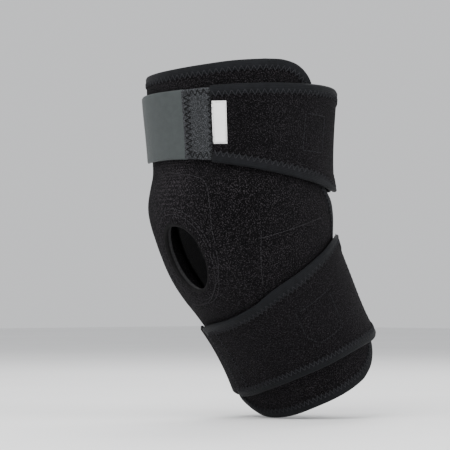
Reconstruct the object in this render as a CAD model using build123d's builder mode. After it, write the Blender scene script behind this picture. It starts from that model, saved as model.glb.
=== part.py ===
"""Wrap-around knee brace with an open patella, modelled as worn on a left leg.

Frame: +Z up along the thigh, -Y to the front of the knee, +X to the outer side of the leg.
The origin is on the thigh's own axis, level with the axis that the knee bends about.
The calf hangs back from the thigh by REST_FLEX. Lengths are in millimetres, angles in degrees.
"""

import os
from functools import cache
from math import cos, radians, sin, tan

from build123d import *

os.makedirs("parts", exist_ok=True)

# ---------------------------------------------------------------- driving dimensions

REST_FLEX = 33.0  # how far the knee is bent as the brace is stored
KNEE_AXIS_BACK = 10.0  # the knee bends about a line this far behind the thigh's axis
BEND_REACH = 31.0  # the centreline bends over this distance above and below the knee

# The leg inside the brace: distance along the centreline above the knee (below it when negative),
# half of the width from side to side, depth to the front and depth to the back.
LEG_STATIONS = (
    (122, 61.5, 62.5, 60.0),
    (94, 59.0, 61.0, 57.5),
    (62, 57.0, 57.5, 55.0),
    (31, 56.0, 57.5, 55.0),
    (15, 57.0, 59.0, 56.5),
    (0, 56.5, 57.0, 55.5),
    (-15, 55.0, 52.5, 53.0),
    (-31, 52.0, 46.5, 50.0),
    (-62, 50.0, 42.5, 48.5),
    (-94, 49.5, 40.5, 47.5),
    (-124, 52.0, 41.0, 50.0),
)

# Layers, as distances out from the leg. Inner and outer face of each.
BODY_TAPE = (0.0, 4.0)  # edge tape folded over the body panels
BODY_SHEET = (0.6, 3.4)  # the body's foam-backed loop fabric
STRAP_TAPE = (4.4, 8.0)  # edge tape folded over the straps
STRAP_SHEET = (5.0, 7.4)  # the straps' loop fabric
HOOK_TAPE = (4.4, 4.9)  # hook field under a tab
LABEL = (7.45, 8.1)
STAY = (-1.5, 0.3)  # flat spiral stay, on the inside of the body
STAY_CAP = (-1.7, 0.4)
STAY_POCKET = (-2.7, -1.9)
BUTTRESS = (-2.6, 0.3)  # foam ring around the patella, on the inside

TAPE_LAP = 6.0  # how far the edge tape reaches in from an edge
TAPE_FOLD = 0.8  # how far it stands past the fabric's own edge
SEAM = 0.4  # gap between two fabrics that meet edge to edge

# Levels across a leg section: (height on its axis, rise per mm outwards, rise per mm backwards).
BODY_TOP = (106.6, 0.0, 0.06)
WING_TOP = (103.5, -0.10, -0.225)
STRAP_TOP = (92.0, 0.0, 0.05)
STRAP_BOTTOM = (28.6, 0.0, -0.232)
LOW_STRAP_TOP = (-35.5, 0.28, 0.10)
LOW_STRAP_BOTTOM = (-109.0, 0.22, -0.23)
BODY_BOTTOM = (-119.0, 0.0, 0.0)
LOW_WING_BOTTOM = (-117.8, 0.043, 0.115)
STRAP_COVER = 4.0  # the knee's stretch panels reach this far under the straps

# Directions around the leg, from the front, positive to the outer side.
# Each reach is one end, the middle plane of the leg and the other end, outer side first.
FRONT = (118.0, 0.0, -118.0)  # the front panels, before their outlines are cut
LOW_FRONT = (142.0, 0.0, -118.0)
BACK = (82.0, 180.0, 278.0)  # the back wings
KNEE_FRONT = (-75.0, 75.0)
BESIDE = ((70.0, 110.0), (250.0, 290.0))  # outer and inner side
STRAP_HINGE = 120.0  # where both straps leave the back of the brace
ANCHOR_END = 146.0
LOOP_END = 27.5  # the upper strap's loop fabric stops here
TAB_SEAM = 10.5
TAB_END = -52.0
LOW_LOOP_END = -8.0
LOW_TAB_SEAM = -24.0
LOW_TAB_END = -56.0
HINGE_GAP = 0.6  # half the gap at a fold line, as an angle
LABEL_FROM, LABEL_TO = 28.5, 38.5
LABEL_BOTTOM, LABEL_TOP = 51.0, 81.0

# Distances behind a section's axis.
FLAP_TOP_BACK = 3.0  # rear edge of the outer flap, at its top, at the knee and at its foot
FLAP_KNEE_BACK = 19.5
LOW_FLAP_BACK = 34.0
FLAP_TOP_RADIUS = 18.0
FLAP_FOOT_RADIUS = 16.0
THIGH_SEAM = 10.0  # the front panels meet the back wings here, on the inner side
CALF_SEAM = 8.0
WING_END = 27.0  # the back wings end here, under the straps' anchors
LOW_WING_END = 40.0
INNER_KNEE_BACK = 24.0  # rear edge of the stretch panels on the inner side

# The opening behind the knee: its edges rise and fall from the knee axis at these slopes.
POPLITEAL_RISE = 0.913
POPLITEAL_FALL = 1.14
KNEE_EDGE_BACK = 33.0
CALF_EDGE_BACK = 28.0

# The patella opening and its ring, seen square on.
PATELLA_CENTRE = (-0.8, -50.0, -22.0)
PATELLA_LEAN = 27.0
HOLE_HALF = (16.0, 23.5)
RING_HALF = (24.0, 31.5)
BUTTRESS_HALF = (22.5, 30.0)

HOOK_INSET = 3.0  # the hook field stays this far in from the edges of its tab

STAY_FORWARD = 6.0  # the stays lie this far in front of the leg's axis
STAY_WIDTH = 6.0
STAY_TOP, STAY_BOTTOM = 90.0, -104.0
CAP_SIZE = (8.0, 7.0)
POCKET_WIDTH = 18.0

FAR = 130.0  # beyond every surface

# ---------------------------------------------------------------- the leg's geometry

half_flex = radians(REST_FLEX / 2)
bend_radius = BEND_REACH / half_flex
bend_top = (bend_radius - KNEE_AXIS_BACK) * tan(half_flex)
flex = radians(REST_FLEX)

thigh = Plane.XY
calf = Plane(
    origin=(0, KNEE_AXIS_BACK * (1 - cos(flex)), -KNEE_AXIS_BACK * sin(flex)),
    x_dir=(1, 0, 0),
    z_dir=(0, -sin(flex), cos(flex)),
)


def side_of(section):
    """The plane seen from the outer side of the leg: x to the back, y up the section's axis."""
    return Plane(origin=section.origin, x_dir=section.y_dir, z_dir=section.x_dir)


def across_leg(distance):
    """The plane square to the centreline at a distance above the knee, or below it."""
    if distance >= BEND_REACH:
        return thigh.offset(bend_top + distance - BEND_REACH)
    if distance <= -BEND_REACH:
        return calf.offset(-bend_top + distance + BEND_REACH)
    lean = half_flex * (1 - distance / BEND_REACH)
    centre = (0, bend_radius * (1 - cos(lean)), bend_top - bend_radius * sin(lean))
    return Plane(origin=centre, x_dir=(1, 0, 0), z_dir=(0, -sin(lean), cos(lean)))


def ring_point(half_width, depths, outwards, direction):
    """Where a direction meets a section of the leg, grown outwards."""
    depth = depths[0] if cos(radians(direction)) > 0 else depths[1]
    turn = radians(direction)
    return ((half_width + outwards) * sin(turn), -(depth + outwards) * cos(turn))


@cache
def layer(faces, start, end):
    """The shell between two distances from the leg and between two directions around it.

    A section of the leg is two half ellipses, which meet at its outer and inner sides.
    """
    turns = [start, *[side for side in (-90, 90, 270) if start < side < end], end]
    with BuildPart() as shell:
        for distance, half_width, *depths in LEG_STATIONS:
            with BuildSketch(across_leg(distance)):
                with BuildLine():
                    for outwards in faces:
                        for first, last in zip(turns, turns[1:]):
                            depth = depths[0] if cos(radians((first + last) / 2)) > 0 else depths[1]
                            EllipticalCenterArc(
                                (0, 0),
                                half_width + outwards,
                                depth + outwards,
                                first - 90,
                                arc_size=last - first,
                            )
                    for direction in (start, end):
                        Line(*[ring_point(half_width, depths, outwards, direction) for outwards in faces])
                make_face()
        loft(ruled=True)
    return shell.part


def level(section, height, outwards=0.0, backwards=0.0):
    """A plane across a section at a height on its axis, tilted to the side and to the back."""
    up = section.z_dir - section.x_dir * outwards - section.y_dir * backwards
    return Plane(origin=section.offset(height).origin, x_dir=section.x_dir, z_dir=up)


def slab(section, low, high, lift_low=0.0, lift_high=0.0):
    """Everything between two levels, each moved up its section's axis by a lift."""
    with BuildPart() as block:
        with BuildSketch(section.offset(-2 * FAR)):
            Rectangle(2 * FAR, 2 * FAR)
        extrude(amount=4 * FAR)
        split(bisect_by=level(section, low[0] + lift_low, *low[1:]), keep=Keep.TOP)
        split(bisect_by=level(section, high[0] + lift_high, *high[1:]), keep=Keep.BOTTOM)
    return block.part


def run_out(section, outline, reach, corner=None, radius=0.0, grow=0.0):
    """An outline seen from the side of a section, run out sideways to one side of the leg.

    corner is the one that is rounded; grow widens the outline.
    """
    with BuildPart() as cutter:
        with BuildSketch(side_of(section)):
            with BuildLine() as edge:
                Polyline(*outline, close=True)
                if corner:
                    fillet(edge.vertices().sort_by_distance((*corner, 0))[0], radius)
            make_face()
            if grow:
                offset(amount=grow, kind=Kind.INTERSECTION, mode=Mode.REPLACE)
        extrude(amount=reach)
    return cutter.part


def cut_shell(faces, directions, section, outer_side, inner_side, corner=None, radius=0.0, grow=0.0):
    """A shell cut to one outline on the outer half of the leg and to another on the inner half.

    directions are the two ends, with the middle plane of the leg between them. corner is the one
    that is rounded on the outer side; grow widens both outlines.
    """
    outer_end, middle, inner_end = directions
    with BuildPart() as outer_half:
        add(layer(faces, *sorted((outer_end, middle))))
        add(run_out(section, outer_side, FAR, corner, radius, grow), mode=Mode.INTERSECT)
    with BuildPart() as inner_half:
        add(layer(faces, *sorted((middle, inner_end))))
        add(run_out(section, inner_side, -FAR, grow=grow), mode=Mode.INTERSECT)
    return [outer_half.part, inner_half.part]


def inner_block(section, start, end):
    """The inner half of the leg between two distances behind the section's axis."""
    with BuildPart() as block:
        with BuildSketch(side_of(section)):
            with Locations(((start + end) / 2, 0)):
                Rectangle(end - start, 4 * FAR)
        extrude(amount=-FAR)
    return block.part


def edge_tape(directions, section, outer_side, inner_side, corner=None, radius=0.0):
    """Tape folded over the edges of a body panel, before the panel is taken out of it."""
    with BuildPart() as tape:
        add(cut_shell(BODY_TAPE, directions, section, outer_side, inner_side, corner, radius, TAPE_FOLD))
        add(run_out(section, outer_side, FAR, corner, radius, -TAPE_LAP), mode=Mode.SUBTRACT)
        add(run_out(section, inner_side, -FAR, grow=-TAPE_LAP), mode=Mode.SUBTRACT)
    return tape.part


def patella_oval(half_sizes, grow=0.0):
    """An upright oval, square to the front of the knee, run in and out through the fabric."""
    lean = radians(PATELLA_LEAN)
    facing = Plane(origin=PATELLA_CENTRE, x_dir=(1, 0, 0), z_dir=(0, -cos(lean), -sin(lean)))
    with BuildPart() as oval:
        with BuildSketch(facing):
            Ellipse(half_sizes[0] + grow, half_sizes[1] + grow)
        extrude(amount=26, both=True)
    return oval.part


# ---------------------------------------------------------------- outlines seen from the side

# Points are (distance behind the section's axis, height on it).


def height_at(line, back):
    """Height of a level where it crosses the middle plane of the leg."""
    return line[0] + line[2] * back


def popliteal_top(back):
    """Upper edge of the opening behind the knee, on the thigh."""
    return (back - KNEE_AXIS_BACK) * POPLITEAL_RISE


def popliteal_foot(back):
    """Lower edge of the opening behind the knee, on the calf."""
    return -(back - KNEE_AXIS_BACK) * POPLITEAL_FALL


def knee_middle(back):
    """The line that splits the angle of the bent knee in two."""
    return (back - KNEE_AXIS_BACK) * tan(half_flex)


def upper_front_inner(seam):
    """The upper front panel on the inner side, up to a seam."""
    return (
        (-FAR, height_at(panel_foot, -FAR)),
        (-FAR, height_at(BODY_TOP, -FAR)),
        (seam, height_at(BODY_TOP, seam)),
        (seam, height_at(panel_foot, seam)),
    )


def upper_wing_inner(seam):
    """The upper back wing on the inner side, from a seam; its top is cut later."""
    return (
        (seam, height_at(STRAP_BOTTOM, seam)),
        (KNEE_EDGE_BACK, popliteal_top(KNEE_EDGE_BACK)),
        (FAR, popliteal_top(FAR)),
        (FAR, 1.5 * FAR),
        (seam, 1.5 * FAR),
    )


def lower_front_inner(seam):
    """The lower front panel on the inner side, up to a seam; its top is cut later."""
    return ((-FAR, FAR), (seam, FAR), (seam, BODY_BOTTOM[0]), (-FAR, BODY_BOTTOM[0]))


def lower_wing_inner(seam):
    """The lower back wing on the inner side, from a seam; its foot is cut later."""
    return (
        (seam, popliteal_foot(CALF_EDGE_BACK)),
        (CALF_EDGE_BACK, popliteal_foot(CALF_EDGE_BACK)),
        (FAR, popliteal_foot(FAR)),
        (FAR, -2 * FAR),
        (seam, -2 * FAR),
    )


panel_foot = (STRAP_BOTTOM[0] + STRAP_COVER, 0.0, STRAP_BOTTOM[2])
flap_top_corner = (FLAP_TOP_BACK, height_at(BODY_TOP, FLAP_TOP_BACK))
flap_foot_corner = (LOW_FLAP_BACK, BODY_BOTTOM[0])

upper_front_outer = (
    (-FAR, height_at(panel_foot, -FAR)),
    (-FAR, height_at(BODY_TOP, -FAR)),
    flap_top_corner,
    (FLAP_KNEE_BACK, height_at(panel_foot, FLAP_KNEE_BACK)),
)
upper_wing_outer = (
    (WING_END, height_at(STRAP_BOTTOM, WING_END)),
    (KNEE_EDGE_BACK, popliteal_top(KNEE_EDGE_BACK)),
    (FAR, popliteal_top(FAR)),
    (FAR, 1.5 * FAR),
    (WING_END, 1.5 * FAR),
)
lower_front_outer = (
    (-FAR, FAR),
    (FLAP_KNEE_BACK, FAR),
    (FLAP_KNEE_BACK + 4.0, popliteal_foot(CALF_EDGE_BACK)),
    flap_foot_corner,
    (-FAR, BODY_BOTTOM[0]),
)
lower_wing_outer = (
    (LOW_WING_END - 8.0, popliteal_foot(LOW_WING_END - 8.0)),
    (FAR, popliteal_foot(FAR)),
    (FAR, -2 * FAR),
    (LOW_WING_END, -2 * FAR),
    (LOW_WING_END, LOW_STRAP_BOTTOM[0]),
)
upper_stretch_outer = (
    (-FAR, height_at(panel_foot, -FAR) - SEAM),
    (FLAP_KNEE_BACK, height_at(panel_foot, FLAP_KNEE_BACK) - SEAM),
    (FLAP_KNEE_BACK + 2.0, knee_middle(FLAP_KNEE_BACK + 2.0) + SEAM / 2),
    (-FAR, knee_middle(-FAR) + SEAM / 2),
)
upper_stretch_inner = (
    (-FAR, height_at(panel_foot, -FAR) - SEAM),
    (THIGH_SEAM, height_at(panel_foot, THIGH_SEAM) - SEAM),
    (THIGH_SEAM, height_at(STRAP_BOTTOM, THIGH_SEAM) - TAPE_FOLD - SEAM),
    (INNER_KNEE_BACK, height_at(STRAP_BOTTOM, INNER_KNEE_BACK) - TAPE_FOLD - SEAM),
    (INNER_KNEE_BACK, knee_middle(INNER_KNEE_BACK) + SEAM / 2),
    (-FAR, knee_middle(-FAR) + SEAM / 2),
)
# The lower stretch panel's foot is cut later, under the lower strap.
lower_stretch_outer = (
    (-FAR, knee_middle(-FAR) - SEAM / 2),
    (FLAP_KNEE_BACK + 2.0, knee_middle(FLAP_KNEE_BACK + 2.0) - SEAM / 2),
    (FLAP_KNEE_BACK + 12.0, -20.0),
    (FLAP_KNEE_BACK + 12.0, -2 * FAR),
    (-FAR, -2 * FAR),
)
lower_stretch_inner = (
    (-FAR, knee_middle(-FAR) - SEAM / 2),
    (INNER_KNEE_BACK, knee_middle(INNER_KNEE_BACK) - SEAM / 2),
    (INNER_KNEE_BACK, -2 * FAR),
    (-FAR, -2 * FAR),
)

# ---------------------------------------------------------------- thigh section

pieces = {}

with BuildPart() as upper_front_panel:
    add(
        cut_shell(
            BODY_SHEET,
            FRONT,
            thigh,
            upper_front_outer,
            upper_front_inner(THIGH_SEAM),
            flap_top_corner,
            FLAP_TOP_RADIUS,
        )
    )
pieces["upper_front_panel"] = upper_front_panel

with BuildPart() as upper_back_wing:
    add(cut_shell(BODY_SHEET, BACK, thigh, upper_wing_outer, upper_wing_inner(THIGH_SEAM + SEAM)))
    split(bisect_by=level(thigh, *WING_TOP), keep=Keep.BOTTOM)
pieces["upper_back_wing"] = upper_back_wing

with BuildPart() as upper_panel_binding:
    add(edge_tape(FRONT, thigh, upper_front_outer, upper_front_inner(FAR / 2), flap_top_corner, FLAP_TOP_RADIUS))
    add(inner_block(thigh, THIGH_SEAM, FAR), mode=Mode.SUBTRACT)
    split(bisect_by=level(thigh, panel_foot[0] + 1.5 * TAPE_LAP, *panel_foot[1:]), keep=Keep.TOP)
    add(upper_front_panel.part, mode=Mode.SUBTRACT)
pieces["upper_panel_binding"] = upper_panel_binding

with BuildPart() as upper_wing_top_binding:
    add(cut_shell(BODY_TAPE, BACK, thigh, upper_wing_outer, upper_wing_inner(THIGH_SEAM + SEAM)))
    add(slab(thigh, WING_TOP, WING_TOP, -TAPE_LAP, TAPE_FOLD), mode=Mode.INTERSECT)
    add(upper_back_wing.part, mode=Mode.SUBTRACT)
pieces["upper_wing_top_binding"] = upper_wing_top_binding

with BuildPart() as popliteal_upper_binding:
    add(edge_tape(BACK, thigh, upper_wing_outer, upper_wing_inner(-FAR / 2)))
    add(inner_block(thigh, -FAR, THIGH_SEAM + SEAM), mode=Mode.SUBTRACT)
    split(bisect_by=level(thigh, WING_TOP[0] - TAPE_LAP - SEAM, *WING_TOP[1:]), keep=Keep.BOTTOM)
    add(upper_back_wing.part, mode=Mode.SUBTRACT)
pieces["popliteal_upper_binding"] = popliteal_upper_binding

with BuildPart() as upper_strap_anchor:
    add(layer(STRAP_TAPE, STRAP_HINGE + HINGE_GAP, ANCHOR_END))
    add(slab(thigh, STRAP_BOTTOM, STRAP_TOP), mode=Mode.INTERSECT)
    add(run_out(thigh, upper_wing_outer, FAR), mode=Mode.INTERSECT)
pieces["upper_strap_anchor"] = upper_strap_anchor

# ---------------------------------------------------------------- knee

with BuildPart() as upper_stretch_panel:
    add(cut_shell(BODY_SHEET, LOW_FRONT, thigh, upper_stretch_outer, upper_stretch_inner))
    add(patella_oval(RING_HALF, SEAM), mode=Mode.SUBTRACT)
pieces["upper_stretch_panel"] = upper_stretch_panel

with BuildPart() as lower_stretch_panel:
    add(cut_shell(BODY_SHEET, LOW_FRONT, thigh, lower_stretch_outer, lower_stretch_inner))
    split(bisect_by=level(calf, LOW_STRAP_TOP[0] - STRAP_COVER + SEAM, *LOW_STRAP_TOP[1:]), keep=Keep.TOP)
    add(patella_oval(RING_HALF, SEAM), mode=Mode.SUBTRACT)
    add(run_out(calf, lower_wing_outer, FAR, grow=TAPE_FOLD + SEAM), mode=Mode.SUBTRACT)
    add(run_out(calf, lower_wing_inner(CALF_SEAM + SEAM), -FAR, grow=TAPE_FOLD), mode=Mode.SUBTRACT)
pieces["lower_stretch_panel"] = lower_stretch_panel

with BuildPart() as patella_panel:
    add(layer(BODY_SHEET, *KNEE_FRONT))
    add(patella_oval(RING_HALF), mode=Mode.INTERSECT)
    add(patella_oval(HOLE_HALF), mode=Mode.SUBTRACT)
pieces["patella_panel"] = patella_panel

with BuildPart() as patella_buttress:
    add(layer(BUTTRESS, *KNEE_FRONT))
    add(patella_oval(BUTTRESS_HALF), mode=Mode.INTERSECT)
    add(patella_oval(HOLE_HALF, SEAM), mode=Mode.SUBTRACT)
pieces["patella_buttress"] = patella_buttress

# ---------------------------------------------------------------- calf section

with BuildPart() as lower_front_panel:
    add(
        cut_shell(
            BODY_SHEET,
            LOW_FRONT,
            calf,
            lower_front_outer,
            lower_front_inner(CALF_SEAM),
            flap_foot_corner,
            FLAP_FOOT_RADIUS,
        )
    )
    split(bisect_by=level(calf, LOW_STRAP_TOP[0] - STRAP_COVER, *LOW_STRAP_TOP[1:]), keep=Keep.BOTTOM)
pieces["lower_front_panel"] = lower_front_panel

with BuildPart() as lower_back_wing:
    add(cut_shell(BODY_SHEET, BACK, calf, lower_wing_outer, lower_wing_inner(CALF_SEAM + SEAM)))
    split(bisect_by=level(calf, *LOW_WING_BOTTOM), keep=Keep.TOP)
pieces["lower_back_wing"] = lower_back_wing

with BuildPart() as lower_panel_binding:
    add(edge_tape(LOW_FRONT, calf, lower_front_outer, lower_front_inner(FAR / 2), flap_foot_corner, FLAP_FOOT_RADIUS))
    add(inner_block(calf, CALF_SEAM, FAR), mode=Mode.SUBTRACT)
    split(
        bisect_by=level(calf, LOW_STRAP_TOP[0] - 2 * TAPE_LAP, *LOW_STRAP_TOP[1:]),
        keep=Keep.BOTTOM,
    )
    add(lower_front_panel.part, mode=Mode.SUBTRACT)
pieces["lower_panel_binding"] = lower_panel_binding

with BuildPart() as lower_wing_foot_binding:
    add(cut_shell(BODY_TAPE, BACK, calf, lower_wing_outer, lower_wing_inner(CALF_SEAM + SEAM)))
    add(slab(calf, LOW_WING_BOTTOM, LOW_WING_BOTTOM, -TAPE_FOLD, TAPE_LAP), mode=Mode.INTERSECT)
    add(lower_back_wing.part, mode=Mode.SUBTRACT)
pieces["lower_wing_foot_binding"] = lower_wing_foot_binding

with BuildPart() as popliteal_lower_binding:
    add(edge_tape(BACK, calf, lower_wing_outer, lower_wing_inner(-FAR / 2)))
    add(inner_block(calf, -FAR, CALF_SEAM + SEAM), mode=Mode.SUBTRACT)
    split(bisect_by=level(calf, LOW_WING_BOTTOM[0] + TAPE_LAP + SEAM, *LOW_WING_BOTTOM[1:]), keep=Keep.TOP)
    add(lower_back_wing.part, mode=Mode.SUBTRACT)
pieces["popliteal_lower_binding"] = popliteal_lower_binding

with BuildPart() as lower_strap_anchor:
    add(layer(STRAP_TAPE, STRAP_HINGE + HINGE_GAP, ANCHOR_END))
    add(slab(calf, LOW_STRAP_BOTTOM, LOW_STRAP_TOP), mode=Mode.INTERSECT)
    add(run_out(calf, lower_wing_inner(0.0), FAR), mode=Mode.INTERSECT)
    split(bisect_by=level(calf, *LOW_WING_BOTTOM), keep=Keep.TOP)
pieces["lower_strap_anchor"] = lower_strap_anchor

# ---------------------------------------------------------------- straps and their tabs


def strap_piece(section, faces, edges, lifts, directions):
    """Part of a strap: a layer between two levels, each lifted, and between two directions."""
    with BuildPart() as piece:
        add(layer(faces, *directions))
        add(slab(section, edges[0], edges[1], lifts[0], lifts[1]), mode=Mode.INTERSECT)
    return piece.part


upper_edges = (STRAP_BOTTOM, STRAP_TOP)
lower_edges = (LOW_STRAP_BOTTOM, LOW_STRAP_TOP)
inside_tape = (TAPE_FOLD, -TAPE_FOLD)
upper_loop = (LOOP_END, STRAP_HINGE - HINGE_GAP)
lower_loop = (LOW_LOOP_END, STRAP_HINGE - HINGE_GAP)
upper_end = (TAB_SEAM + HINGE_GAP, LOOP_END)
lower_end = (LOW_TAB_SEAM + HINGE_GAP, LOW_LOOP_END)

with BuildPart() as upper_strap_web:
    add(strap_piece(thigh, STRAP_SHEET, upper_edges, inside_tape, upper_loop))
pieces["upper_strap_web"] = upper_strap_web

with BuildPart() as upper_strap_end:
    add(strap_piece(thigh, STRAP_SHEET, upper_edges, inside_tape, upper_end))
pieces["upper_strap_end"] = upper_strap_end

with BuildPart() as lower_strap_web:
    add(strap_piece(calf, STRAP_SHEET, lower_edges, inside_tape, lower_loop))
pieces["lower_strap_web"] = lower_strap_web

with BuildPart() as lower_strap_end:
    add(strap_piece(calf, STRAP_SHEET, lower_edges, inside_tape, lower_end))
pieces["lower_strap_end"] = lower_strap_end

for strap, section, edges, run, fabrics in (
    ("upper_strap", thigh, upper_edges, (upper_end[0], upper_loop[1]), (upper_strap_web, upper_strap_end)),
    ("lower_strap", calf, lower_edges, (lower_end[0], lower_loop[1]), (lower_strap_web, lower_strap_end)),
):
    for edge_name, edge, lifts in (
        ("top", edges[1], (-TAPE_LAP, 0.0)),
        ("bottom", edges[0], (0.0, TAPE_LAP)),
    ):
        with BuildPart() as strap_binding:
            add(strap_piece(section, STRAP_TAPE, (edge, edge), lifts, run))
            for fabric in fabrics:
                add(fabric.part, mode=Mode.SUBTRACT)
        pieces[f"{strap}_{edge_name}_binding"] = strap_binding

with BuildPart() as strap_label:
    add(layer(LABEL, LABEL_FROM, LABEL_TO))
    add(slab(thigh, (LABEL_BOTTOM, 0.0, 0.0), (LABEL_TOP, 0.0, 0.0)), mode=Mode.INTERSECT)
pieces["strap_label"] = strap_label

for strap, section, edges, run in (
    ("upper", thigh, upper_edges, (TAB_END, TAB_SEAM - HINGE_GAP)),
    ("lower", calf, lower_edges, (LOW_TAB_END, LOW_TAB_SEAM - HINGE_GAP)),
):
    with BuildPart() as hook_tab:
        add(strap_piece(section, STRAP_SHEET, edges, inside_tape, run))
    pieces[f"{strap}_hook_tab"] = hook_tab
    with BuildPart() as hook_tape:
        add(strap_piece(section, HOOK_TAPE, edges, (HOOK_INSET, -HOOK_INSET), (run[0] + 1.5, run[1] - 1.5)))
    pieces[f"{strap}_hook_tape"] = hook_tape

# ---------------------------------------------------------------- stays


def stay_band(width, top, bottom):
    """A band seen from the side that follows the leg just in front of its centreline."""
    foot = side_of(calf).from_local_coords((-STAY_FORWARD, bottom, 0))
    knee_top = (-STAY_FORWARD, bend_top)
    with BuildPart() as band:
        with BuildSketch(side_of(thigh)):
            with BuildLine():
                thigh_run = Line((-STAY_FORWARD, top), knee_top)
                knee_run = CenterArc((bend_radius, bend_top), bend_radius + STAY_FORWARD, 180, REST_FLEX)
                Line(knee_run @ 1, (foot.Y, foot.Z))
            trace(line_width=width)
        extrude(amount=FAR, both=True)
    return band.part


def stay_caps(section, height):
    """Covers for one end of both stays."""
    with BuildPart() as covers:
        for directions in BESIDE:
            add(layer(STAY_CAP, *directions))
        with BuildSketch(side_of(section)):
            with Locations((-STAY_FORWARD, height)):
                Rectangle(*CAP_SIZE)
        extrude(amount=FAR, both=True, mode=Mode.INTERSECT)
    return covers.part


for side, directions in zip(("outer", "inner"), BESIDE):
    for piece_name, faces, width, margin in (
        ("spiral_stay", STAY, STAY_WIDTH, CAP_SIZE[1] / 2 + SEAM),
        ("stay_pocket", STAY_POCKET, POCKET_WIDTH, -CAP_SIZE[1]),
    ):
        with BuildPart() as strip:
            add(layer(faces, *directions))
            add(stay_band(width, STAY_TOP - margin, STAY_BOTTOM + margin), mode=Mode.INTERSECT)
        pieces[f"{side}_{piece_name}"] = strip

with BuildPart() as upper_stay_caps:
    add(stay_caps(thigh, STAY_TOP))
pieces["upper_stay_caps"] = upper_stay_caps

with BuildPart() as lower_stay_caps:
    add(stay_caps(calf, STAY_BOTTOM))
pieces["lower_stay_caps"] = lower_stay_caps

# ---------------------------------------------------------------- output

for piece_name, piece in pieces.items():
    piece.part.label = piece_name
    export_step(piece.part, f"parts/{piece_name}.step")
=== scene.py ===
"""The looks of the knee brace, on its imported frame: panels, straps, tape, stitching and stays.

Places on the brace are given as (turn, run): turn in degrees round the leg from the front towards the
outer side, and run in millimetres up along the leg's curved middle line, from the middle of the knee.
"""

import math

import bpy
import numpy as np
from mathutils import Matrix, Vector, geometry


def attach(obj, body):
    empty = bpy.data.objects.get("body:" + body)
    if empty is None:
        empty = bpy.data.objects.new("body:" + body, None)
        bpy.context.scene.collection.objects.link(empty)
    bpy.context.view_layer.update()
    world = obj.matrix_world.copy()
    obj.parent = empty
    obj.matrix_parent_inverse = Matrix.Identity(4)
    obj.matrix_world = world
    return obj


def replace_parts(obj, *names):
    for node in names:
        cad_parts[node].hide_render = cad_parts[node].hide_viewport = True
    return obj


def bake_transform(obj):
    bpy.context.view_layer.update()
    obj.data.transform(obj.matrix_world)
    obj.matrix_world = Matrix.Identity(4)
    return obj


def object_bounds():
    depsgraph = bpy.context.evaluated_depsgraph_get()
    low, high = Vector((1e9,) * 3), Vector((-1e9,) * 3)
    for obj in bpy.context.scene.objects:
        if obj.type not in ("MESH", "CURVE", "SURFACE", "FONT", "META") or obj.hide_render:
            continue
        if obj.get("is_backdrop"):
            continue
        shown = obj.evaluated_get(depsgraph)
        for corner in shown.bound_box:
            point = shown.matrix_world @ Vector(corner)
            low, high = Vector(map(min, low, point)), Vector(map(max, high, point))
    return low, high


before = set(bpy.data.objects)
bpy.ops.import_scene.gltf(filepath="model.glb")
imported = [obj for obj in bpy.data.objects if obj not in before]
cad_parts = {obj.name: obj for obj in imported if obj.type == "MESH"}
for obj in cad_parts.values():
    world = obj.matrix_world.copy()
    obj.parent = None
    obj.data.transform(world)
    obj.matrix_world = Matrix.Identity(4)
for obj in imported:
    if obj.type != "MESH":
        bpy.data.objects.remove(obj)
cad_low, cad_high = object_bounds()

MM = 0.001
DEG_MM = 1.03  # length round the leg of one degree, about
UV_MM = 0.01  # texture units in a millimetre of cloth

# ---- the leg that the brace is shaped on

REST_FLEX = math.radians(33)
BEND_REACH = 31.0
KNEE_AXIS_BACK = 10.0
BEND_RADIUS = BEND_REACH / (REST_FLEX / 2)
BEND_TOP = (BEND_RADIUS - KNEE_AXIS_BACK) * math.tan(REST_FLEX / 2)
LAG = BEND_REACH - BEND_TOP

# run, half width, depth to the front, depth to the back
STATIONS = np.array(
    [
        (-130, 52.5, 41.5, 50.5),
        (-94, 49.5, 40.5, 47.5),
        (-62, 50, 42.5, 48.5),
        (-31, 52, 46.5, 50),
        (-15, 55, 52.5, 53),
        (0, 56.5, 57, 55.5),
        (15, 57, 59, 56.5),
        (31, 56, 57.5, 55),
        (62, 57, 57.5, 55),
        (94, 59, 61, 57.5),
        (130, 62, 63, 60.5),
    ],
    float,
)


def curve(x, xs, ys):
    """A smooth curve through points, evaluated at x."""
    xs, ys = np.asarray(xs, float), np.asarray(ys, float)
    x = np.clip(np.asarray(x, float), xs[0], xs[-1])
    slopes = np.gradient(ys, xs)
    i = np.clip(np.searchsorted(xs, x, side="right") - 1, 0, len(xs) - 2)
    h = xs[i + 1] - xs[i]
    t = (x - xs[i]) / h
    return (
        ys[i] * (2 * t**3 - 3 * t**2 + 1)
        + ys[i + 1] * (3 * t**2 - 2 * t**3)
        + slopes[i] * h * (t**3 - 2 * t**2 + t)
        + slopes[i + 1] * h * (t**3 - t**2)
    )


def section(turn, run):
    """Half width of the leg, and its depth on the side that a turn faces."""
    width = curve(run, STATIONS[:, 0], STATIONS[:, 1])
    front = curve(run, STATIONS[:, 0], STATIONS[:, 2])
    back = curve(run, STATIONS[:, 0], STATIONS[:, 3])
    return width, np.where(np.cos(np.radians(turn)) > 0, front, back)


def hump(turn, run, centre, half, height, lean=0.0):
    """A soft oval swelling, leaning by lean millimetres a millimetre round the leg."""
    u = ((np.asarray(turn, float) - centre[0] + 180) % 360 - 180) * DEG_MM
    v = np.asarray(run, float) - centre[1] - lean * u
    return height * np.exp(-((u / half[0]) ** 2) - (v / half[1]) ** 2)


def swell(turn, run):
    """Where the leg fills the whole brace out beyond its even sections."""
    thigh = hump(turn, run, (-20, 78), (62, 36), 2.4)
    shin = hump(turn, run, (-20, -30), (62, 26), 3.6)
    rear = hump(turn, run, (114, 8), (34, 26), 2.6)
    return thigh + shin + rear


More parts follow.
